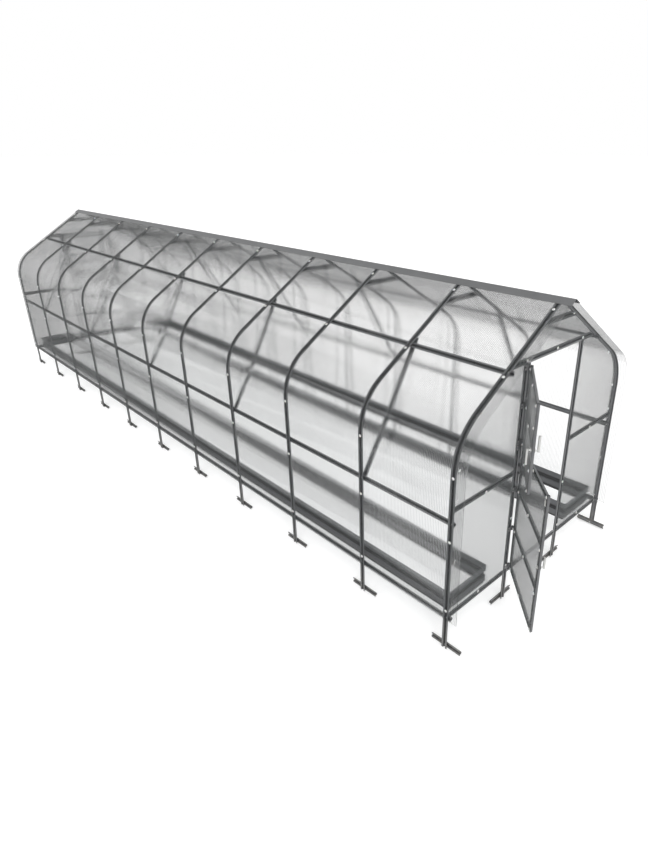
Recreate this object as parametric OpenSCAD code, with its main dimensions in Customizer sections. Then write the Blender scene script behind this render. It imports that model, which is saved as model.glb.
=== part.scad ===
// Polycarbonate greenhouse: steel arches clad in twin-wall sheet, with a
// two-leaf door in each end wall and raised beds along both sides.
// X runs across, Y along the ridge and Z up. The door that stands open is
// at the -Y end. The feet stand on Z = 0.

/* [House] */
// Number of bays between arches
bays = 10; // [2:1:12]
// Distance between arch centres
bay = 1000; // [600:10:1100]
// Half width over the arches
half_width = 1265; // [1200:5:1500]
// Height at which the straight wall ends
wall_top = 1625; // [1500:5:1800]
// Outer radius of the shoulder
shoulder_r = 500; // [400:25:600]
// Length of sheet and ridge cap past the end arches
overhang = 110; // [70:5:150]

/* [Profiles] */
// Width of the hat profile over its lips
hat_w = 54; // [44:1:60]
// Depth of the hat profile
hat_d = 20; // [15:1:30]
// Width of the mouth of the groove
hat_mouth = 24; // [20:1:26]
// Width of the web at the bottom of the groove
hat_web = 16; // [12:1:18]
// Thickness of the profile steel
steel_t = 1.5; // [1:0.5:2]
// Thickness of the twin-wall sheet
sheet_t = 4; // [4:1:6]

/* [Levels] */
// Underside of the base rails and sills
rail_z = 284; // [250:2:320]
// Centre height of the wall purlins
purlin_z = 1205; // [1000:5:1250]
// Distance up the slope from the shoulder to the roof purlins
purlin_s = 418; // [300:1:450]
// Centre height of the collar ties
tie_z = 2545; // [2500:5:2560]
// Centre height of the bars beside the doors
mid_bar_z = 1324; // [1300:2:1400]
// Underside of the bar over the doors
header_z = 2264; // [2200:2:2270]

/* [Doors] */
// Distance from the middle of the house to the centre of a door post
post_x = 430; // [400:5:500]
// Underside of the lower leaf
lower_z0 = 345; // [345:5:360]
// Top of the lower leaf
lower_z1 = 1572; // [1400:5:1700]
// Gap between the two leaves
leaf_gap = 8; // [6:1:20]
// Top of the upper leaf
upper_z1 = 2258; // [2150:2:2258]
// Width of the leaf frame bars
leaf_bar = 40; // [36:1:44]
// How far the lower front leaf stands open, in degrees
lower_open = 134.5; // [0:0.5:160]
// How far the upper front leaf stands open, in degrees
upper_open = 145; // [0:0.5:160]

/* [Feet and beds] */
// Length of the foot bars
foot_len = 300; // [200:10:400]
// Top of the bed boards
bed_top = 485; // [450:5:600]
// Distance from the middle of the house to the path side of a bed
bed_path_x = 670; // [460:5:700]
// Distance from the middle of the house to the wall side of a bed
bed_wall_x = 1170; // [1100:5:1200]

/* [Hidden] */
length = bays * bay;
end_bay = bay - 24;              // first and last bay
// The roof slopes as a 336-527-625 triangle.
slope_sin = 336 / 625;
slope_cos = 527 / 625;
slope_tan = 336 / 527;
roof_slope = atan2(336, 527);
hidden_stub = 20;                // behind the arch lips
stub = 40;                       // rails and purlins past the end arches
cap_extra = 8;                   // ridge cap past the sheets
cap_leg = 80;                    // each side of the ridge cap, on the slope
cap_play = 0.3;
turn = 90 - roof_slope;          // sweep of the shoulder
arc_x = half_width - shoulder_r; // centre of the shoulder
rafter_x = arc_x + shoulder_r * slope_sin;
rafter_z = wall_top + shoulder_r * slope_cos;
ridge_z = rafter_z + rafter_x * slope_tan;
rafter_len = rafter_x / slope_cos;
sheet_z0 = rail_z + 15;          // lower edge of all fixed sheets
seam = 2;                        // gap between neighbouring sheets
bays_per_sheet = 2;
end_gap = 2;                     // end wall sheet to the web of the arch
end_in = hat_d + end_gap;
header_mid = header_z + hat_w / 2;

pin_r = 3;                       // hinge pin
pin_play = 0.1;
knuckle_r = 6;
knuckle_h = 22;
knuckle_gap = 0.5;
plate_t = 2;                     // hinge plates
axis_y = -8;                     // hinge axis, in front of the posts
leaf_side = 9;                   // leaf to door post
leaf_half = post_x - hat_w / 2 - leaf_side;
axis_x = -(leaf_half + 7);
lower_panes = 3;                 // panes between the leaf bars
upper_panes = 2;
leaf_lap = 34;                   // sheet over the leaf bars
hinge_lap = 11;                  // less on the hinge side, for the plates
spindle_r = 5;                   // door handles
spindle_play = 0.6;
handle_r = 9;
handle_x = leaf_half - leaf_bar / 2;
handle_out = 24;                 // arms clear of the leaf
handle_arm = 110;
short_arm = 85;

bed_end = 48;                    // end boards to the end arch centres
bed_z0 = 290;
bed_step = 10;                   // depth of the pressed grooves
bed_foot = 25;                   // height of the lower groove
bed_groove = 45;                 // height of the middle groove
bed_t = 1.5;

// The open lower leaf's handle reaches furthest forward.
reach_x = handle_x - axis_x;
reach_y = hat_d + handle_out - axis_y;
front_reach = reach_x * sin(lower_open) - reach_y * cos(lower_open) + handle_r - axis_y;
back_reach = length + max(overhang + cap_extra, foot_len / 2);
origin_y = (back_reach - front_reach) / 2;

steel = "#4d4d4e";
sheet_colour = [0.88, 0.9, 0.9, 0.45];
handle_colour = "#b9bab8";
board_colour = "#77777a";

$fn = 48;

// ---- Hat profile -------------------------------------------------------

// Open hat section: lips on x = 0, groove open to +X, web at x = -depth.
module hat_section(w = hat_w) {
  mouth = hat_mouth / 2;
  foot = hat_web / 2;
  polygon([[0, -w / 2], [0, -mouth], [steel_t - hat_d, -foot + steel_t],
    [steel_t - hat_d, foot - steel_t], [0, mouth], [0, w / 2],
    [-steel_t, w / 2], [-steel_t, mouth + steel_t], [-hat_d, foot],
    [-hat_d, -foot], [-steel_t, -mouth - steel_t], [-steel_t, -w / 2]]);
}

// Upright bar with its groove open to +X.
module upright(h, w = hat_w) {
  linear_extrude(height = h) hat_section(w);
}

// Bar along +Y, centred on z = 0, groove open to +X.
module along(l) {
  rotate([-90, 0, 0]) upright(l);
}

// Bar along +X from x = 0, centred on z = 0, groove open to -Y.
module across(l, w = hat_w) {
  rotate([0, 90, 0]) rotate([0, 0, -90]) upright(l, w);
}

// Everything is drawn from the first arch and moved to the origin here.
module place() {
  translate([0, -origin_y, 0]) children();
}

module mirrored_x() {
  mirror([1, 0, 0]) children();
}

// A copy of a front end piece at the back end.
module at_back() {
  translate([0, length, 0]) mirror([0, 1, 0]) children();
}

module both_ends(tone) {
  color(tone) place() {
    children();
    at_back() children();
  }
}

// ---- Arches and long members -------------------------------------------

// Moves to the frame of the right-hand slope: x out through the roof from
// the centre of the shoulder, z up the slope from where the shoulder ends.
module on_slope() {
  translate([arc_x, 0, wall_top]) rotate([0, -turn, 0]) children();
}

// The shoulder bend of a section drawn at x = shoulder_r, y = 0 to wide.
module shoulder(wide) {
  big = 2 * shoulder_r;
  intersection() {
    translate([arc_x, wide, wall_top]) rotate([90, 0, 0])
      rotate_extrude(angle = 90) children();
    on_slope() translate([-big, -big, -2 * big]) cube([2 * big, wide + 2 * big, 2 * big]);
  }
}

module half_rib() {
  translate([half_width, 0, 0]) upright(wall_top);
  shoulder(0) translate([shoulder_r, 0]) hat_section();
  on_slope() translate([shoulder_r, 0, 0]) upright(rafter_len);
}

module rib(i) {
  color(steel) place() translate([0, arch_y(i - 1), 0]) {
    half_rib();
    mirrored_x() half_rib();
  }
}

module long_member(past = stub) {
  translate([0, -past, 0]) along(length + 2 * past);
}

module base_rail() {
  color(steel) place()
    translate([half_width - hat_d, 0, rail_z + hat_w / 2]) long_member();
}

module wall_purlin() {
  color(steel) place()
    translate([half_width - hat_d, 0, purlin_z]) long_member(hidden_stub);
}

module roof_purlin() {
  color(steel) place()
    on_slope() translate([shoulder_r - hat_d, 0, purlin_s]) long_member();
}

module ridge_cap() {
  rise = sheet_t / slope_cos;
  thick = steel_t / slope_cos;
  reach = cap_leg * slope_cos;
  drop = cap_leg * slope_sin;
  color(steel) place()
    translate([0, length + overhang + cap_extra, ridge_z + rise + cap_play])
      rotate([90, 0, 0])
        linear_extrude(height = length + 2 * (overhang + cap_extra))
          polygon([[0, 0], [reach, -drop], [reach, thick - drop], [0, thick],
            [-reach, thick - drop], [-reach, -drop]]);
}

// Distance of arch i from the first; the second one in from each end sits closer.
function arch_y(i) = i == 1 ? end_bay : i == bays - 1 ? length - end_bay : i * bay;

// Height of the underside of the rafters at distance x from the middle.
function under_rafter(x) = ridge_z - hat_d / slope_cos - x * slope_tan;
function under_rafter_x(z) = (ridge_z - hat_d / slope_cos - z) / slope_tan;

// A bar across the house at height z, cut off just under both rafters.
module bar_under_rafters(z) {
  play = 0.5;
  low = under_rafter_x(z - hat_w / 2) - play;
  high = under_rafter_x(z + hat_w / 2) - play;
  intersection() {
    translate([-low, 0, z]) across(2 * low);
    translate([0, hat_d + 5, 0]) rotate([90, 0, 0])
      linear_extrude(height = hat_d + 10)
        polygon([[-low, z - hat_w / 2], [low, z - hat_w / 2], [high, z + hat_w / 2],
          [-high, z + hat_w / 2]]);
  }
}

module collar_ties() {
  color(steel) place() {
    for (i = [0 : bays - 1])
      translate([0, arch_y(i), 0]) bar_under_rafters(tie_z);
    at_back() bar_under_rafters(tie_z);
  }
}

// Straight brace from the wall purlin to the roof purlin on every other arch.
module knee_braces() {
  foot_x = half_width - 2 * hat_d;
  head_x = 600;
  head_z = under_rafter(head_x);
  run = foot_x - head_x;
  rise = head_z - purlin_z;
  color(steel) place()
    for (i = [1 : 2 : bays - 1])
      translate([foot_x, arch_y(i), purlin_z])
        rotate([0, -atan2(run, rise), 0]) upright(norm([run, rise]));
}

module foot_bar() {
  translate([-hat_d, -foot_len / 2, hat_w / 2]) along(foot_len);
}

module foot_bars() {
  color(steel) place()
    for (i = [0 : bays])
      translate([half_width, arch_y(i), 0]) foot_bar();
}

module foot_bars_ends() {
  color(steel) place() {
    end_foot_bars();
    at_back() end_foot_bars();
  }
}

module end_foot_bars() {
  for (x = [-post_x, post_x])
    translate([x, hat_d, 0]) rotate([0, 0, -90]) translate([hat_d, 0, 0]) foot_bar();
}

// ---- End walls ---------------------------------------------------------

function leaf_bar_z(z0, z1, panes, k) = z0 + leaf_bar / 2 + k * (z1 - z0 - leaf_bar) / panes;

// Plates on the post, over the edge of the end sheet, level with every leaf bar.
module fixed_knuckles(z0, z1, panes) {
  plate_h = 2 * knuckle_h + knuckle_gap;
  left = -post_x - hat_w / 2 + 1 - axis_x;
  sheet_edge = -post_x + 2 - axis_x;
  right = -knuckle_r - 1;
  face_y = -axis_y - sheet_t - plate_t;
  for (k = [0 : panes])
    translate([axis_x, axis_y, leaf_bar_z(z0, z1, panes, k) - plate_h / 2]) {
      cylinder(h = knuckle_h, r = knuckle_r);
      cylinder(h = 2 * knuckle_h, r = pin_r);
      translate([left, face_y, 0]) cube([right - left, plate_t, plate_h]);
      translate([left, face_y, 0]) cube([-pin_r - left, plate_t, knuckle_h]);
      translate([sheet_edge, face_y, 0]) cube([right - sheet_edge, plate_t + sheet_t, plate_h]);
    }
}

module door_posts() {
  for (x = [-post_x, post_x])
    translate([x, 0, 0]) rotate([0, 0, -90]) upright(header_z);
  fixed_knuckles(lower_z0, lower_z1, lower_panes);
  fixed_knuckles(lower_z1 + leaf_gap, upper_z1, upper_panes);
}

// Room round the ends of the rails and purlins that pass the end bars and sheets.
module rail_ends() {
  play = 2;
  wide = hat_w + 2 * play;
  deep = hat_d + 2 * play;
  x = half_width - 2 * hat_d - play;
  for (z = [rail_z + hat_w / 2, purlin_z])
    translate([x, -stub, z - wide / 2]) cube([deep, 2 * stub, wide]);
  on_slope() translate([shoulder_r - 2 * hat_d - play, -stub, purlin_s - wide / 2])
    cube([deep, 2 * stub, wide]);
}

module cross_bars() {
  difference() {
    bar_under_rafters(header_mid);
    rail_ends();
    mirrored_x() rail_ends();
  }
  post_side = post_x + hat_w / 2;
  rib_in = half_width - hat_d;
  sill_in = rib_in - hat_d;
  for (side = [0, 1]) mirror([side, 0, 0]) {
    translate([post_side, 0, mid_bar_z]) across(rib_in - post_side);
    translate([post_side, 0, rail_z + hat_w / 2]) across(sill_in - post_side);
  }
  inside = post_x - hat_w / 2;
  translate([-inside, 0, rail_z + hat_w / 2]) across(2 * inside);
}

// Flat end sheet beside the door, drawn for the +X side, y = -sheet_t to 0.
module end_side_sheet() {
  wall_x = half_width - end_in;
  r = shoulder_r - end_in;
  top_z = header_mid - seam / 2;
  reach = rafter_len;
  translate([post_x, -sheet_t, sheet_z0])
    cube([wall_x - post_x, sheet_t, wall_top - sheet_z0]);
  shoulder(0) square([r, sheet_t]);
  intersection() {
    on_slope() translate([-reach, -sheet_t, 0]) cube([reach + r, sheet_t, reach]);
    translate([post_x, -sheet_t, sheet_z0])
      cube([half_width, sheet_t, top_z - sheet_z0]);
  }
}

module end_sheets() {
  difference() {
    union() {
      end_side_sheet();
      mirrored_x() end_side_sheet();
    }
    rail_ends();
    mirrored_x() rail_ends();
  }
  low_z = header_mid + seam / 2;
  peak_z = ridge_z - end_in / slope_cos;
  low_x = (peak_z - low_z) / slope_tan;
  difference() {
    rotate([90, 0, 0]) linear_extrude(height = sheet_t)
      polygon([[-low_x, low_z], [low_x, low_z], [0, peak_z]]);
    rail_ends();
    mirrored_x() rail_ends();
  }
}

// ---- Side sheets and beds ----------------------------------------------

// One bent sheet on the +X side, from y = 0 to y = l.
module bent_sheet(l) {
  top_gap = 8;
  translate([half_width, 0, sheet_z0]) cube([sheet_t, l, wall_top - sheet_z0]);
  shoulder(l) translate([shoulder_r, 0]) square([sheet_t, l]);
  on_slope() translate([shoulder_r, 0, 0]) cube([sheet_t, l, rafter_len - top_gap]);
}

module side_sheets() {
  count = bays / bays_per_sheet;
  step = bay * bays_per_sheet;
  color(sheet_colour) place()
    for (k = [0 : count - 1]) {
      y0 = k == 0 ? -overhang : k * step + seam / 2;
      y1 = k == count - 1 ? length + overhang : (k + 1) * step - seam / 2;
      translate([0, y0, 0]) bent_sheet(y1 - y0);
    }
}

// Upright board with two pressed grooves, facing +X, extruded along +Z.
module board_section() {
  h = bed_top - bed_z0;
  d = bed_step;
  mid = (h + bed_foot - bed_groove) / 2;
  outer = [[-d, 0], [-d, bed_foot - d], [0, bed_foot], [0, mid], [-d, mid + d],
    [-d, mid + bed_groove - d], [0, mid + bed_groove], [0, h]];
  inner = [for (p = outer) [p[0] - bed_t, p[1]]];
  back = [for (i = [len(inner) - 1 : -1 : 0]) inner[i]];
  polygon(concat(outer, back));
}

// Board along +Y from y = 0, mitred at both ends.
module board(l) {
  deep = bed_step + bed_t + 1;
  intersection() {
    translate([0, l, 0]) rotate([90, 0, 0]) linear_extrude(height = l) board_section();
    linear_extrude(height = bed_top - bed_z0)
      polygon([[0, 0], [0, l], [-deep, l - deep], [-deep, deep]]);
  }
}

module bed_edging() {
  l = length - 2 * bed_end;
  wide = bed_wall_x - bed_path_x;
  color(board_colour) place() translate([bed_path_x, bed_end, bed_z0]) {
    translate([wide, 0, 0]) board(l);
    translate([0, l, 0]) rotate([0, 0, 180]) board(l);
    rotate([0, 0, -90]) board(wide);
    translate([wide, l, 0]) rotate([0, 0, 90]) board(wide);
  }
}

// ---- Door leaves, drawn closed, hinged at axis_x, axis_y ----------------

// Hole for the handle's spindle through the free stile and the sheet on it.
module spindle_hole(z0, z1) {
  translate([handle_x, -2 * sheet_t, (z0 + z1) / 2]) rotate([-90, 0, 0])
    cylinder(h = 2 * hat_d, r = spindle_r + spindle_play);
}

module leaf_frame(z0, z1, panes) {
  inner = leaf_half - leaf_bar;
  lap = (leaf_bar - hat_mouth) / 2;
  difference() {
    union() {
      for (x = [-leaf_half + leaf_bar / 2, leaf_half - leaf_bar / 2])
        translate([x, 0, z0]) rotate([0, 0, -90]) upright(z1 - z0, leaf_bar);
      for (k = [0 : panes])
        translate([-inner - lap, 0, leaf_bar_z(z0, z1, panes, k)])
          across(2 * (inner + lap), leaf_bar);
    }
    spindle_hole(z0, z1);
  }
  moving_knuckles(z0, z1, panes);
}

module moving_knuckles(z0, z1, panes) {
  plate_x = -leaf_half - axis_x;
  for (k = [0 : panes])
    translate([axis_x, axis_y, leaf_bar_z(z0, z1, panes, k) + knuckle_gap / 2]) difference() {
      union() {
        cylinder(h = knuckle_h, r = knuckle_r);
        translate([plate_x - 4, -axis_y - plate_t, 0]) cube([26, plate_t, knuckle_h]);
        translate([plate_x - 5, 0, 0]) cube([4, -axis_y, knuckle_h]);
      }
      translate([0, 0, -1]) cylinder(h = knuckle_h + 2, r = pin_r + pin_play);
    }
}

module leaf_sheet(z0, z1) {
  inner = leaf_half - leaf_bar;
  z_in = leaf_bar - leaf_lap;
  difference() {
    translate([-inner - hinge_lap, -sheet_t, z0 + z_in])
      cube([2 * inner + hinge_lap + leaf_lap, sheet_t, z1 - z0 - 2 * z_in]);
    spindle_hole(z0, z1);
  }
}

// Arm of a bent handle at distance y from the leaf face, up or down.
module handle_arm_at(y, z0, z1) {
  translate([0, y, z0]) cylinder(h = z1 - z0, r = handle_r);
}

// Handle through the free stile: inner arm up and, if full, outer arm down.
module handle(z0, z1, full) {
  out = sheet_t + handle_out;
  front = full ? out : sheet_t + handle_r;
  back = hat_d + handle_out;
  arm = full ? handle_arm : short_arm;
  translate([handle_x, 0, (z0 + z1) / 2]) {
    translate([0, -front, 0]) rotate([-90, 0, 0]) cylinder(h = front + back, r = spindle_r);
    handle_arm_at(back, -handle_r, arm);
    if (full) handle_arm_at(-out, -arm, handle_r);
  }
}

// Swings a front leaf open about its hinge pins.
module swung(angle) {
  translate([axis_x, axis_y, 0]) rotate([0, 0, -angle])
    translate([-axis_x, -axis_y, 0]) children();
}

upper_z0 = lower_z1 + leaf_gap;

rib(1);  // rib_01
rib(2);  // rib_02
rib(3);  // rib_03
rib(4);  // rib_04
rib(5);  // rib_05
rib(6);  // rib_06
rib(7);  // rib_07
rib(8);  // rib_08
rib(9);  // rib_09
rib(10);  // rib_10
rib(11);  // rib_11
mirrored_x() base_rail();  // base_rail_left
base_rail();  // base_rail_right
mirrored_x() wall_purlin();  // wall_purlin_left
wall_purlin();  // wall_purlin_right
mirrored_x() roof_purlin();  // roof_purlin_left
roof_purlin();  // roof_purlin_right
ridge_cap();
collar_ties();
mirrored_x() knee_braces();  // knee_braces_left
knee_braces();  // knee_braces_right
mirrored_x() foot_bars();  // foot_bars_left
foot_bars();  // foot_bars_right
foot_bars_ends();
both_ends(steel) door_posts();
both_ends(steel) cross_bars();  // end_cross_bars
mirrored_x() side_sheets();  // side_sheets_left
side_sheets();  // side_sheets_right
color(sheet_colour) place() end_sheets();  // front_sheets
color(sheet_colour) place() at_back() end_sheets();  // back_sheets
mirrored_x() bed_edging();  // bed_edging_left
bed_edging();  // bed_edging_right
color(steel) place() swung(lower_open) leaf_frame(lower_z0, lower_z1, lower_panes);  // front_lower_frame
color(sheet_colour) place() swung(lower_open) leaf_sheet(lower_z0, lower_z1);  // front_lower_sheet
color(handle_colour) place() swung(lower_open) handle(lower_z0, lower_z1, false);  // front_lower_handle
color(steel) place() swung(upper_open) leaf_frame(upper_z0, upper_z1, upper_panes);  // front_upper_frame
color(sheet_colour) place() swung(upper_open) leaf_sheet(upper_z0, upper_z1);  // front_upper_sheet
color(handle_colour) place() swung(upper_open) handle(upper_z0, upper_z1, true);  // front_upper_handle
color(steel) place() at_back() leaf_frame(lower_z0, lower_z1, lower_panes);  // back_lower_frame
color(sheet_colour) place() at_back() leaf_sheet(lower_z0, lower_z1);  // back_lower_sheet
color(handle_colour) place() at_back() handle(lower_z0, lower_z1, false);  // back_lower_handle
color(steel) place() at_back() leaf_frame(upper_z0, upper_z1, upper_panes);  // back_upper_frame
color(sheet_colour) place() at_back() leaf_sheet(upper_z0, upper_z1);  // back_upper_sheet
color(handle_colour) place() at_back() handle(upper_z0, upper_z1, true);  // back_upper_handle
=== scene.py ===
import math

import bpy
from mathutils import Matrix, Vector


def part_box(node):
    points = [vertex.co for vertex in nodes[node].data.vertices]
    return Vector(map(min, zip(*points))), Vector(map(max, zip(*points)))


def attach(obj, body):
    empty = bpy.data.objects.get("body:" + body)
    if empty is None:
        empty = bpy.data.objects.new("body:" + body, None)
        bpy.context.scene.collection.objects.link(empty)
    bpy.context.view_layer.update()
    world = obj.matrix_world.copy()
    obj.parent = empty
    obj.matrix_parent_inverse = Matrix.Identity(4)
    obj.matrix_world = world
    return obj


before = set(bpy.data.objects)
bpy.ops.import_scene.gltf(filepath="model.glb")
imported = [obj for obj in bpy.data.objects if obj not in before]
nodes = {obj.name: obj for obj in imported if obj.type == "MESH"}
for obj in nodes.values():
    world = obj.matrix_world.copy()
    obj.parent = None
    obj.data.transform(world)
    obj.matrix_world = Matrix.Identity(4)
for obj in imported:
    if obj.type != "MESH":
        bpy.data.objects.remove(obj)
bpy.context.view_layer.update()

# ---- Arches, rails and bars ----
# Open hat sections, roll-formed from galvanised strip 1.5 mm thick and
# powder-coated graphite grey. They are cut to length, the arches are bent
# cold, and all of it is bolted together through the webs.


def linear(code):
    """A colour written as sRGB hex, as the linear RGBA a shader takes."""
    parts = [int(code[i:i + 2], 16) / 255 for i in (1, 3, 5)]
    return [c / 12.92 if c <= 0.04045 else ((c + 0.055) / 1.055) ** 2.4 for c in parts] + [1]


def add(tree, kind, values=None, links=None, **settings):
    """Adds one node with its settings, its unlinked values and its links. A
    Mix of colours takes them at sockets 6 and 7 and gives the result at 2."""
    made = tree.nodes.new("ShaderNode" + kind)
    for key, value in settings.items():
        setattr(made, key, value)
    for key, value in (values or {}).items():
        made.inputs[key].default_value = value
    for key, source in (links or {}).items():
        tree.links.new(source, made.inputs[key])
    return made


def new_material(name):
    """A material with an empty node tree."""
    made = bpy.data.materials.new(name)
    made.use_nodes = True
    made.node_tree.nodes.clear()
    return made, made.node_tree


def clad(names, material):
    """Gives CAD nodes a finish."""
    for name in names:
        mesh = nodes[name].data
        mesh.materials.clear()
        mesh.materials.append(material)


def powder_coat(name, light, dark, groove_shade, dust, rough, pressed=()):
    """Polyester powder coat on steel: an even colour with a faint orange-peel
    skin that breaks up the gloss, painted shade darkening the grooves and
    inner corners, and pale soil dust on what is near the ground. Pressed holds
    the middle height and half the width of each wide shallow groove, whose bottom gets painted
    shade too."""
    material, tree = new_material(name)
    place = add(tree, "TexCoord").outputs["Object"]
    height = add(tree, "SeparateXYZ", links={"Vector": place}).outputs["Z"]
    cloud = add(tree, "TexNoise", {"Scale": 5.0, "Detail": 4.0, "Roughness": 0.6},
                {"Vector": place})
    tone = add(tree, "ValToRGB", links={"Fac": cloud.outputs["Fac"]})
    for stop, position, colour in zip(tone.color_ramp.elements, (0.35, 0.65), (dark, light)):
        stop.position = position
        stop.color = linear(colour)
    # Painted shade: ambient occlusion on the part itself darkens the inside of grooves and inner
    # corners.
    corners = add(tree, "AmbientOcclusion", {"Distance": 0.03}, only_local=True, samples=6)
    unshaded = add(tree, "MapRange", {"From Min": 0.5, "From Max": 0.95},
                {"Value": corners.outputs["AO"]}, interpolation_type="SMOOTHSTEP")
    unshaded = unshaded.outputs["Result"]
    # Painted shade: the bottom of each pressed groove is darkened towards the groove shade colour,
    # found by its height.
    for middle, half in pressed:
        off = add(tree, "Math", {1: middle}, {0: height}, operation="SUBTRACT")
        off = add(tree, "Math", links={0: off.outputs[0]}, operation="ABSOLUTE")
        rim = add(tree, "MapRange", {"From Min": half * 0.8, "From Max": half, "To Min": 0.1},
                  {"Value": off.outputs[0]})
        unshaded = add(tree, "Math", links={0: unshaded, 1: rim.outputs["Result"]},
                    operation="MULTIPLY").outputs[0]
    # Painted shade: the coat goes to the groove shade colour where the occlusion mask is low.
    shaded = add(tree, "Mix", {6: linear(groove_shade)}, {"Factor": unshaded, 7: tone.outputs["Color"]},
                data_type="RGBA")
    low = add(tree, "MapRange", {"From Min": 0.0, "From Max": 0.35, "To Min": 0.6, "To Max": 0.0},
              {"Value": height}, interpolation_type="SMOOTHSTEP")
    specks = add(tree, "TexNoise", {"Scale": 38.0, "Detail": 5.0}, {"Vector": place})
    patch = add(tree, "MapRange", {"From Min": 0.42, "From Max": 0.7},
                {"Value": specks.outputs["Fac"]})
    share = add(tree, "Math", links={0: low.outputs["Result"], 1: patch.outputs["Result"]},
                operation="MULTIPLY")
    soiled = add(tree, "Mix", {7: linear(dust)}, {"Factor": share.outputs[0], 6: shaded.outputs[2]},
                 data_type="RGBA")
    # Peel spacing is about 2 mm in real coats and is drawn at 4 mm to show.
    peel = add(tree, "TexNoise", {"Scale": 250.0, "Detail": 2.0}, {"Vector": place})
    sheen = add(tree, "MapRange", {"To Min": rough - 0.06, "To Max": rough + 0.08},
                {"Value": cloud.outputs["Fac"]})
    bump = add(tree, "Bump", {"Strength": 0.12, "Distance": 0.0004},
               {"Height": peel.outputs["Fac"]})
    skin = add(tree, "BsdfPrincipled", {"IOR": 1.5, "Specular IOR Level": 0.35}, {
        "Base Color": soiled.outputs[2], "Roughness": sheen.outputs["Result"],
        "Normal": bump.outputs["Normal"]})
    add(tree, "OutputMaterial", links={"Surface": skin.outputs[0]})
    return material


# The darkest colour of each coat is painted shade for its grooves.
graphite = powder_coat("graphite_powder_coat", light="#747576", dark="#67686a",
                       groove_shade="#454647", dust="#8a857d", rough=0.42)
arches = sorted(name for name in nodes if name.startswith("rib_"))
bars = ["base_rail_left", "base_rail_right", "wall_purlin_left", "wall_purlin_right",
        "roof_purlin_left", "roof_purlin_right", "collar_ties", "knee_braces_left",
        "knee_braces_right", "foot_bars_left", "foot_bars_right", "foot_bars_ends",
        "door_posts", "end_cross_bars", "front_lower_frame", "front_upper_frame",
        "back_lower_frame", "back_upper_frame"]
clad(arches + bars, graphite)

# ---- Ridge cap ----
# One folded steel flashing over the top edges of both roof sheets, coated a
# flatter grey than the frame and held by the sheet screws.
# Its darkest colour is painted shade for the grooves.
cap_coat = powder_coat("ridge_powder_coat", light="#68696a", dark="#616263", groove_shade="#3c3c3d",
                       dust="#8d877c", rough=0.45)
clad(["ridge_cap"], cap_coat)

# ---- Twin-wall sheets ----
# Extruded clear polycarbonate, 4 mm thick, two thin skins joined by upright
# webs. Sides are one run bent cold over the arches, ends are cut flat.


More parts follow.
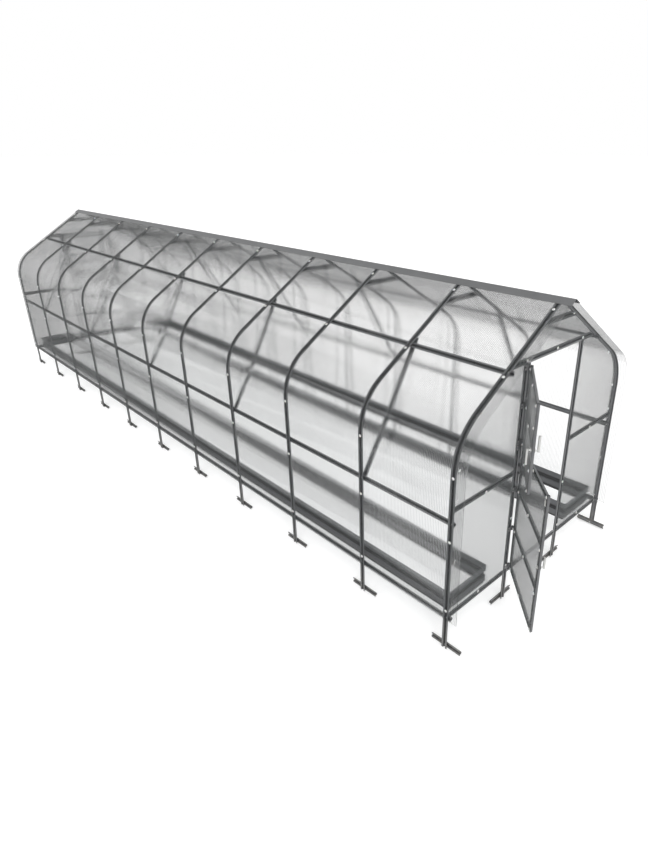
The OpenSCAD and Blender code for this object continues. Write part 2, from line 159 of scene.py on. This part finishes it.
def twin_wall(name, across, mist_share, mist_at_low_angle, grey):
    """Extruded polycarbonate, two clear skins with webs between. The middle of
    each flute is seen straight through, its flanks lean like a lens and throw
    what is far behind a little to the left and right, and at a low angle the
    sheet goes grey. Lamps and soft light pass it almost whole."""
    material, tree = new_material(name)
    place = add(tree, "TexCoord").outputs["Object"]
    axes = add(tree, "SeparateXYZ", links={"Vector": place})
    # Webs stand 6 mm apart and are drawn 16 mm apart so that they show.
    web_spacing = 0.016
    turns = add(tree, "Math", {1: 1 / web_spacing}, {0: axes.outputs[across]},
                operation="MULTIPLY")
    saw = add(tree, "Math", links={0: turns.outputs[0]}, operation="FRACT")
    # The flank is -1 on the left of a flute, 0 in its middle and 1 on its right.
    side = add(tree, "MapRange", {"To Min": -1.4, "To Max": 1.4}, {"Value": saw.outputs[0]})
    side = add(tree, "Math", links={0: side.outputs["Result"]}, operation="ROUND")
    low_angle = add(tree, "LayerWeight", {"Blend": 0.5}).outputs["Facing"]
    reach = add(tree, "MapRange", {"To Min": 0.085, "To Max": 0.0}, {"Value": low_angle})
    lean = add(tree, "Math", links={0: side.outputs[0], 1: reach.outputs[0]},
               operation="MULTIPLY")
    lean = add(tree, "CombineXYZ", links={across: lean.outputs[0]})
    lean = add(tree, "VectorTransform", links={0: lean.outputs[0]}, vector_type="VECTOR",
               convert_from="OBJECT", convert_to="WORLD")
    skin = add(tree, "NewGeometry").outputs["Normal"]
    lean = add(tree, "VectorMath", links={0: skin, 1: lean.outputs[0]}, operation="ADD")
    lean = add(tree, "VectorMath", links={0: lean.outputs[0]}, operation="NORMALIZE")
    flank = add(tree, "Math", links={0: side.outputs[0]}, operation="ABSOLUTE")
    flank = add(tree, "MapRange", {"To Min": 0.8, "To Max": 0.97}, {"Value": flank.outputs[0]})
    # At a low angle both flanks of a flute work against each other.
    even = add(tree, "MapRange", {"From Min": 0.6, "From Max": 0.8, "To Min": 1.0, "To Max": 0.25},
               {"Value": low_angle})
    flank = add(tree, "Math", links={0: flank.outputs["Result"], 1: even.outputs["Result"]},
                operation="MULTIPLY")
    graze = add(tree, "Math", {1: 4.9}, {0: low_angle}, operation="POWER").outputs[0]
    haze = add(tree, "TexNoise", {"Scale": 2.2, "Detail": 4.0}, {"Vector": place})
    haze = add(tree, "MapRange", {"To Min": 0.97, "To Max": 1.0}, {"Value": haze.outputs["Fac"]})
    dim = add(tree, "MapRange", {"To Min": 0.985, "To Max": 0.6}, {"Value": graze})
    tint = add(tree, "Math", links={0: haze.outputs[0], 1: dim.outputs[0]}, operation="MULTIPLY")
    # Webs are 0.5 mm thick and are drawn a quarter of their spacing wide, and fainter.
    web = add(tree, "Math", {1: 0.75}, {0: saw.outputs[0]}, operation="GREATER_THAN")
    web = add(tree, "MapRange", {"To Min": 1.0, "To Max": 0.88}, {"Value": web.outputs[0]})
    tint = add(tree, "Math", links={0: tint.outputs[0], 1: web.outputs[0]}, operation="MULTIPLY")
    clear = add(tree, "BsdfTransparent", links={"Color": tint.outputs[0]})
    blur = add(tree, "MapRange", {"From Min": 0.4, "From Max": 0.8, "To Min": 0.12, "To Max": 0.03},
               {"Value": low_angle})
    bent = add(tree, "BsdfRefraction", {"IOR": 1.2},
               {"Color": tint.outputs[0], "Normal": lean.outputs[0], "Roughness": blur.outputs[0]})
    wall = add(tree, "MixShader", links={0: flank.outputs[0], 1: clear.outputs[0],
                                         2: bent.outputs[0]})
    mist = add(tree, "BsdfPrincipled", {"Base Color": linear(grey), "Roughness": 0.4,
                                        "Specular IOR Level": 0.3})
    share = add(tree, "MapRange", {"To Min": mist_share, "To Max": mist_at_low_angle},
                {"Value": graze})
    seen = add(tree, "MixShader", links={0: share.outputs[0], 1: wall.outputs[0],
                                         2: mist.outputs[0]})
    rays = add(tree, "LightPath")
    let_through = add(tree, "BsdfTransparent", {"Color": linear("#fbfcfc")})
    for kind in ("Is Diffuse Ray", "Is Shadow Ray"):
        seen = add(tree, "MixShader", links={0: rays.outputs[kind], 1: seen.outputs[0],
                                             2: let_through.outputs[0]})
    add(tree, "OutputMaterial", links={"Surface": seen.outputs[0]})
    return material


side_sheet = twin_wall("twin_wall_polycarbonate", across="Y", mist_share=0.02,
                       mist_at_low_angle=0.66, grey="#7c7e7e")
end_sheet = twin_wall("twin_wall_polycarbonate_ends", across="X", mist_share=0.12,
                      mist_at_low_angle=0.7, grey="#7a7c7c")
clad(["side_sheets_left", "side_sheets_right"], side_sheet)
clad(["front_sheets", "back_sheets", "front_lower_sheet", "front_upper_sheet",
      "back_lower_sheet", "back_upper_sheet"], end_sheet)

# ---- Raised bed edging ----
# Boards folded from 0.7 mm steel sheet with two pressed grooves for
# stiffness, coated grey, mitred at the corners and standing on the base rail.
# The bottoms of these grooves get painted shade, and so does the darkest colour of the board coat.
middle_groove = (0.4, 0.027)        # height of its middle, half its width
foot_groove = (0.301, 0.014)
board_coat = powder_coat("grey_board_coat", light="#6f7072", dark="#656668", groove_shade="#2e2e2f",
                         dust="#5c564c", rough=0.5, pressed=[middle_groove, foot_groove])
clad(["bed_edging_left", "bed_edging_right"], board_coat)

# ---- Door handles ----
# Bent from round bar and zinc-plated, so they are paler than the frame and
# have a soft silky shine from the plating bath.


def zinc(name, light, dark):
    """Bright zinc plating: silvery, faintly mottled, with soft reflections."""
    material, tree = new_material(name)
    place = add(tree, "TexCoord").outputs["Object"]
    mottle = add(tree, "TexNoise", {"Scale": 90.0, "Detail": 4.0}, {"Vector": place})
    tone = add(tree, "Mix", {6: linear(dark), 7: linear(light)}, {"Factor": mottle.outputs["Fac"]},
               data_type="RGBA")
    gloss = add(tree, "MapRange", {"To Min": 0.28, "To Max": 0.45},
                {"Value": mottle.outputs["Fac"]})
    skin = add(tree, "BsdfPrincipled", {"Metallic": 0.85}, {
        "Base Color": tone.outputs[2], "Roughness": gloss.outputs["Result"]})
    add(tree, "OutputMaterial", links={"Surface": skin.outputs[0]})
    return material


plated = zinc("zinc_plating", light="#d0d0ce", dark="#bcbcba")
clad(["front_lower_handle", "front_upper_handle", "back_lower_handle", "back_upper_handle"],
     plated)

# ---- Sheet screws ----
# Zinc-plated hexagon screws through pale nylon washers with a soft rim, which
# press the sheet on the arches, end bars and door leaves without cutting it.
arch_ys = [sum(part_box(name), Vector()).y / 2 for name in arches]
front_y = arch_ys[0]
back_y = arch_ys[-1]
half_width = 1.265                          # to the outside of the arches
sheet_t = 0.004
shoulder = Vector((0.765, 0, 1.625))        # centre of the bend, on the right
bend_r = 0.5
slope = Vector((-0.8432, 0, 0.5376))        # up the roof, on the right
outward = Vector((0.5376, 0, 0.8432))       # out of the roof, on the right


def select_faces(pick):
    """Selects the faces of the mesh being edited that pick() takes."""
    bpy.ops.object.mode_set(mode="OBJECT")
    for face in bpy.context.object.data.polygons:
        face.select = pick(face)
    bpy.ops.object.mode_set(mode="EDIT")


def start(kind, **settings):
    """Adds a primitive by itself and opens it for editing by its faces."""
    bpy.ops.object.select_all(action="DESELECT")
    getattr(bpy.ops.mesh, "primitive_" + kind + "_add")(**settings)
    bpy.ops.object.mode_set(mode="EDIT")
    bpy.ops.mesh.select_mode(type="FACE")


def joined(pieces):
    """Joins pieces into the last one."""
    bpy.ops.object.select_all(action="DESELECT")
    for piece in pieces:
        piece.select_set(True)
    bpy.context.view_layer.objects.active = pieces[-1]
    if len(pieces) > 1:
        bpy.ops.object.join()
    return bpy.context.object


def disc_pattern(radius, thick, rim, rise, hub, hub_rise):
    """A round washer or rose with its underside on z = 0: a flat edge, a slope
    up to a raised ring, and a smaller step in the middle."""
    start("cylinder", vertices=14, radius=radius, depth=thick, location=(0, 0, thick / 2))
    select_faces(lambda face: face.normal.z > 0.9)
    bpy.ops.mesh.inset(thickness=rim)
    bpy.ops.transform.translate(value=(0, 0, rise))
    bpy.ops.mesh.inset(thickness=hub)
    bpy.ops.transform.translate(value=(0, 0, hub_rise))
    bpy.ops.object.mode_set(mode="OBJECT")
    return bpy.context.object


def hexagon_pattern(flange_r, flange_h, head_r, head_h, foot):
    """A hexagon head with a chamfered top on a round flange, from z = foot up."""
    start("cylinder", vertices=12, radius=flange_r, depth=flange_h,
          location=(0, 0, foot + flange_h / 2))
    bpy.ops.object.mode_set(mode="OBJECT")
    flange = bpy.context.object
    start("cylinder", vertices=6, radius=head_r, depth=head_h,
          location=(0, 0, foot + flange_h + head_h / 2))
    select_faces(lambda face: face.normal.z > 0.9)
    bpy.ops.mesh.inset(thickness=0.2 * head_r)
    bpy.ops.transform.translate(value=(0, 0, 0.12 * head_r))
    bpy.ops.object.mode_set(mode="OBJECT")
    return joined([flange, bpy.context.object])


def facing(at, away):
    """Where a pattern goes so that its z axis points away from a spot."""
    turn = Vector(away).to_track_quat("Z", "Y").to_matrix().to_4x4()
    return Matrix.Translation(at) @ turn


def set_out(pattern, places, name, body, material):
    """Copies a pattern to each place and joins the copies into one piece."""
    copies = []
    for place in places:
        copy = pattern.copy()
        copy.data = pattern.data.copy()
        copy.data.transform(pattern.matrix_world)
        copy.matrix_world = Matrix.Identity(4)
        copy.data.transform(place)
        bpy.context.scene.collection.objects.link(copy)
        copies.append(copy)
    piece = joined(copies)
    piece.name = name
    piece.data.materials.clear()
    piece.data.materials.append(material)
    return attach(piece, body)


def nylon():
    """Moulded natural nylon: milky white, with a soft dull shine."""
    material, tree = new_material("natural_nylon")
    place = add(tree, "TexCoord").outputs["Object"]
    flow = add(tree, "TexNoise", {"Scale": 160.0, "Detail": 3.0}, {"Vector": place})
    tone = add(tree, "Mix", {6: linear("#e9e9e7"), 7: linear("#f6f6f4")},
               {"Factor": flow.outputs["Fac"]}, data_type="RGBA")
    skin = add(tree, "BsdfPrincipled",
               {"IOR": 1.53, "Roughness": 0.42, "Subsurface Weight": 0.15,
                "Subsurface Scale": 0.002},
               {"Base Color": tone.outputs[2]})
    add(tree, "OutputMaterial", links={"Surface": skin.outputs[0]})
    return material


def both_sides(points):
    """Each spot at a distance left and right of the middle."""
    return [(side * x, z) for x, z in points for side in (-1, 1)]


mirror_x = Matrix.Scale(-1, 4, (1, 0, 0))


def mirrored(places):
    """The same spots on the left side."""
    made = []
    for place in places:
        at, normal = place.translation, place.to_3x3() @ Vector((0, 0, 1))
        made.append(facing(mirror_x @ at, mirror_x.to_3x3() @ normal))
    return made


washer = disc_pattern(radius=0.012, thick=0.0015, rim=0.0035, rise=0.0016, hub=0.0025,
                      hub_rise=0.0006)
screw = hexagon_pattern(flange_r=0.0055, flange_h=0.001, head_r=0.0042, head_h=0.0036,
                        foot=0.0036)
white_nylon = nylon()

wall_heights = (0.39, 1.05, 1.605)
roof_runs = (0.354, 1.084)                  # up the slope from the bend
side_places = []
for y in arch_ys:
    for z in wall_heights:
        side_places.append(facing((half_width + sheet_t, y, z), (1, 0, 0)))
    for run in roof_runs:
        at = shoulder + outward * (bend_r + sheet_t) + slope * run + Vector((0, y, 0))
        side_places.append(facing(at, outward))

# Distance from the middle of the wall and height: the arch, the bars beside the
# door, the posts, and the bar and ties over the door.
bar_over_door = 2.291
end_points = both_sides([(1.2, 1.645), (1.2, 1.39), (0.99, 2.03), (0.84, 1.31), (0.84, 0.331),
                         (0.43, 0.87), (0.44, 0.38), (0.43, bar_over_door), (0.215, 2.545)])
end_points.append((0.016, bar_over_door))


def end_places(points, depth, inside=False):
    """Spots on both end walls, depth outside the faces of their bars."""
    turn = 1 if inside else -1
    return ([facing((x, front_y - depth, z), (0, turn, 0)) for x, z in points],
            [facing((x, back_y + depth, z), (0, -turn, 0)) for x, z in points])


front_places, back_places = end_places(end_points, sheet_t)
for pattern, kind, slot, material in ((washer, "washers", "polycarbonate", white_nylon),
                                      (screw, "screws", "handle_steel", plated)):
    set_out(pattern, mirrored(side_places), "left_sheet_" + kind, "house", material)
    set_out(pattern, side_places, "right_sheet_" + kind, "house", material)
    set_out(pattern, front_places, "front_sheet_" + kind, "house", material)
    set_out(pattern, back_places, "back_sheet_" + kind, "house", material)

# ---- Corner clips ----
# Small bent clips of plated steel that hold the wall edge of the end sheets
# where no screw reaches, hooked over the lip of the end arch.
clip_points = [(1.2, 0.83), (1.2, 0.37)]


def clip_pattern():
    """An upright leg 36 mm high with an arm from its top, 2 mm thick."""
    leg_w, leg_h, arm, thick = 0.010, 0.036, 0.014, 0.002
    start("cube", size=1, location=(0, 0, thick / 2))
    bpy.ops.transform.resize(value=(leg_w, leg_h, thick))
    bpy.ops.mesh.bisect(plane_co=(0, leg_h / 2 - leg_w, 0), plane_no=(0, 1, 0))
    select_faces(lambda face: face.normal.x > 0.9 and face.center.y > leg_h / 2 - leg_w)
    bpy.ops.mesh.extrude_region_move(TRANSFORM_OT_translate={"value": (arm, 0, 0)})
    bpy.ops.object.mode_set(mode="OBJECT")
    made = bpy.context.object
    edge = made.modifiers.new("edge", "BEVEL")
    edge.width = 0.0007
    edge.segments = 1
    bpy.ops.object.modifier_apply(modifier=edge.name)
    return made


clip = clip_pattern()
clips_front, clips_back = end_places(both_sides(clip_points), sheet_t)
set_out(clip, clips_front, "front_corner_clips", "house", plated)
set_out(clip, clips_back, "back_corner_clips", "house", plated)

# ---- Door leaf screws and hinge screws ----
# The leaf sheets are held by the same screws and washers, and every hinge has
# two screws in the post and one in the leaf. They turn with their leaves.
open_by = {"front_lower": 134.5, "front_upper": 145}
hinge_line = Vector((-0.401, front_y - 0.008, 0))
leaf_bar = 0.04                             # width of the bars of a leaf
panes = {"lower": 3, "upper": 2}


def leaf_places(leaf, points, depth, inside=False):
    """Spots on a leaf as it stands, given where they are on the closed leaf."""
    front, back = end_places(points, depth, inside)
    if leaf not in open_by:
        return back
    turn = (Matrix.Translation(hinge_line)
            @ Matrix.Rotation(math.radians(-open_by[leaf]), 4, "Z")
            @ Matrix.Translation(-hinge_line))
    return [turn @ place for place in front]


plate_screw = hexagon_pattern(flange_r=0.0044, flange_h=0.0008, head_r=0.0036, head_h=0.0026,
                              foot=0)
hinge_stile_x, free_stile_x = -0.335, 0.372
post_plate_x, leaf_plate_x = -0.449, -0.3895
plate_t = 0.002
post_points = []
for part in ("lower", "upper"):
    low, high = (corner.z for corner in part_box("back_" + part + "_frame"))
    gaps = panes[part]
    step = (high - low - leaf_bar) / gaps
    bar_zs = [low + leaf_bar / 2 + k * step for k in range(gaps + 1)]
    post_points += [(post_plate_x, z + rise) for z in bar_zs for rise in (-0.012, 0.012)]
    spots = [(x, z) for z in bar_zs for x in (hinge_stile_x, 0)]
    spots += [(free_stile_x, bar_zs[0]), (free_stile_x, bar_zs[-1])]
    free_zs = ([z - 0.05 for z in bar_zs[1:-1]] if part == "lower"
               else [(a + b) / 2 for a, b in zip(bar_zs, bar_zs[1:])])
    spots += [(free_stile_x, z) for z in free_zs]
    hinge_spots = [(leaf_plate_x, z + 0.011) for z in bar_zs]
    for side in ("front_", "back_"):
        leaf = side + part
        door = leaf + "_door"
        on_sheet = leaf_places(leaf, spots, sheet_t)
        on_plates = leaf_places(leaf, hinge_spots, plate_t)
        set_out(washer, on_sheet, leaf + "_sheet_washers", door, white_nylon)
        set_out(screw, on_sheet, leaf + "_sheet_screws", door, plated)
        set_out(plate_screw, on_plates, leaf + "_hinge_screws", door, plated)
posts_front, posts_back = end_places(post_points, sheet_t + plate_t)
set_out(plate_screw, posts_front, "front_post_screws", "house", plated)
set_out(plate_screw, posts_back, "back_post_screws", "house", plated)

# ---- Handle roses ----
# Plated steel roses under both arms of each handle, pressed with a raised hub
# that the spindle turns in.
rose = disc_pattern(radius=0.016, thick=0.0015, rim=0.003, rise=0.0012, hub=0.004,
                    hub_rise=0.001)
spindle_x = 0.374
hat_d = 0.02                                # depth of the hat profile
for leaf in ("front_lower", "front_upper", "back_lower", "back_upper"):
    low, high = (corner.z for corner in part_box(leaf + "_frame"))
    middle = [(spindle_x, (low + high) / 2)]
    places = (leaf_places(leaf, middle, sheet_t)
              + leaf_places(leaf, middle, -hat_d, inside=True))
    set_out(rose, places, leaf + "_handle_roses", leaf + "_door", plated)

# ---- Door latches ----
# A plated slide bolt stands on the free stile of each lower leaf, near the
# top. It ties the two leaves together so that they open as one.


def latch_pattern():
    """A plate with a round bolt in two loops, its length along y."""
    wide, long, thick, bolt_z = 0.016, 0.046, 0.002, 0.0055
    start("cube", size=1, location=(0, 0, thick / 2))
    bpy.ops.transform.resize(value=(wide, long, thick))
    bpy.ops.object.mode_set(mode="OBJECT")
    plate = bpy.context.object
    edge = plate.modifiers.new("edge", "BEVEL")
    edge.width = 0.0008
    edge.segments = 2
    bpy.ops.object.modifier_apply(modifier=edge.name)
    parts = [plate]
    bolt = (0.006, 0.003, 0.05)             # where along y, radius, length
    loops = [(y, 0.0045, 0.008) for y in (-0.013, 0.013)]
    for y, radius, depth in [bolt] + loops:
        start("cylinder", vertices=12, radius=radius, depth=depth, location=(0, y, bolt_z),
              rotation=(math.radians(90), 0, 0))
        select_faces(lambda face: abs(face.normal.z) > 0.9)
        bpy.ops.mesh.inset(thickness=radius * 0.3)
        bpy.ops.object.mode_set(mode="OBJECT")
        parts.append(bpy.context.object)
    return joined(parts)


latch = latch_pattern()
latch_z = 1.505
for leaf in ("front_lower", "back_lower"):
    place = leaf_places(leaf, [(free_stile_x, latch_z)], sheet_t)
    set_out(latch, place, leaf + "_latch", leaf + "_door", plated)

# ---- Frame bolts ----
# Zinc-plated M6 bolts through the webs join each arch to the rails, purlins
# and foot bars: the head lies in the groove, the nut and its washer inside.
web_t = 0.0015
bolt_head = hexagon_pattern(flange_r=0.0062, flange_h=0.0008, head_r=0.0057, head_h=0.004, foot=0)
nut = hexagon_pattern(flange_r=0.0075, flange_h=0.0012, head_r=0.0057, head_h=0.005, foot=0)
foot_z, rail_z, purlin_z = 0.027, 0.311, 1.205
roof_purlin_run = 0.418                     # up the slope from the bend
head_places, nut_places = [], []
for y in arch_ys:
    for z in (foot_z, rail_z, purlin_z):
        head_places.append(facing((half_width - hat_d + web_t, y, z), (1, 0, 0)))
        nut_places.append(facing((half_width - 2 * hat_d, y, z), (-1, 0, 0)))
    at = shoulder + slope * roof_purlin_run + Vector((0, y, 0))
    head_places.append(facing(at + outward * (bend_r - hat_d + web_t), outward))
    nut_places.append(facing(at + outward * (bend_r - 2 * hat_d), -outward))
post_feet = both_sides([(0.43, foot_z)])
heads_front, heads_back = end_places(post_feet, web_t - hat_d)
nuts_front, nuts_back = end_places(post_feet, -2 * hat_d, inside=True)
set_out(bolt_head, head_places + mirrored(head_places) + heads_front + heads_back,
        "frame_bolt_heads", "house", plated)
set_out(nut, nut_places + mirrored(nut_places) + nuts_front + nuts_back,
        "frame_bolt_nuts", "house", plated)

for pattern in (washer, screw, clip, plate_screw, rose, latch, bolt_head, nut):
    bpy.data.objects.remove(pattern)

# ---- Floor, light and camera ----
# A plain white studio floor that runs to a white backdrop, a soft lamp high on
# the left, and the camera above head height beside the open end.


def looked_at(tree):
    """1 for what is seen straight, in a mirror or through glass, 0 for light."""
    rays = add(tree, "LightPath").outputs
    seen = add(tree, "Math", links={0: rays["Is Camera Ray"], 1: rays["Is Glossy Ray"]},
               operation="MAXIMUM")
    seen = add(tree, "Math", links={0: seen.outputs[0], 1: rays["Is Transmission Ray"]},
               operation="MAXIMUM")
    return seen.outputs[0]


bpy.ops.object.select_all(action="DESELECT")
bpy.ops.mesh.primitive_plane_add(size=600, location=(0, 0, -0.0005))
floor = bpy.context.object
floor.name = "studio_floor"
floor_paint, tree = new_material("white_floor_paint")
lift = add(tree, "Math", {1: 0.33}, {0: looked_at(tree)}, operation="MULTIPLY")
paint = add(tree, "BsdfDiffuse", {"Color": linear("#ebebeb")})
glow = add(tree, "Emission", {"Color": (1, 1, 1, 1)}, {"Strength": lift.outputs[0]})
both = add(tree, "AddShader", links={0: paint.outputs[0], 1: glow.outputs[0]})
add(tree, "OutputMaterial", links={"Surface": both.outputs[0]})
floor.data.materials.append(floor_paint)

world = bpy.data.worlds.new("white_studio")
bpy.context.scene.world = world
world.use_nodes = True
tree = world.node_tree
tree.nodes.clear()
level = add(tree, "MapRange", {"To Min": 0.72, "To Max": 1.0}, {"Value": looked_at(tree)})
sky = add(tree, "Background", {"Color": (1, 1, 1, 1)}, {"Strength": level.outputs["Result"]})
add(tree, "OutputWorld", links={"Surface": sky.outputs[0]})

lamp = bpy.data.lights.new("soft_lamp", "SUN")
lamp.energy = 1.4
lamp.angle = math.radians(40)
lamp_object = bpy.data.objects.new("soft_lamp", lamp)
lamp_object.rotation_euler = (math.radians(38), math.radians(-18), math.radians(-20))
bpy.context.scene.collection.objects.link(lamp_object)

view = bpy.data.cameras.new("view")
view.lens = 24.658
view.sensor_width = 36
view.shift_x = -0.0649
view.shift_y = -0.0277
view.clip_end = 900
camera = bpy.data.objects.new("view", view)
camera.location = (-4.2252, front_y - 2.2364, 3.7695)
camera.rotation_euler = (math.radians(66.29), 0, math.radians(-44.79))
bpy.context.scene.collection.objects.link(camera)
bpy.context.scene.camera = camera
bpy.context.scene.view_settings.view_transform = "Standard"
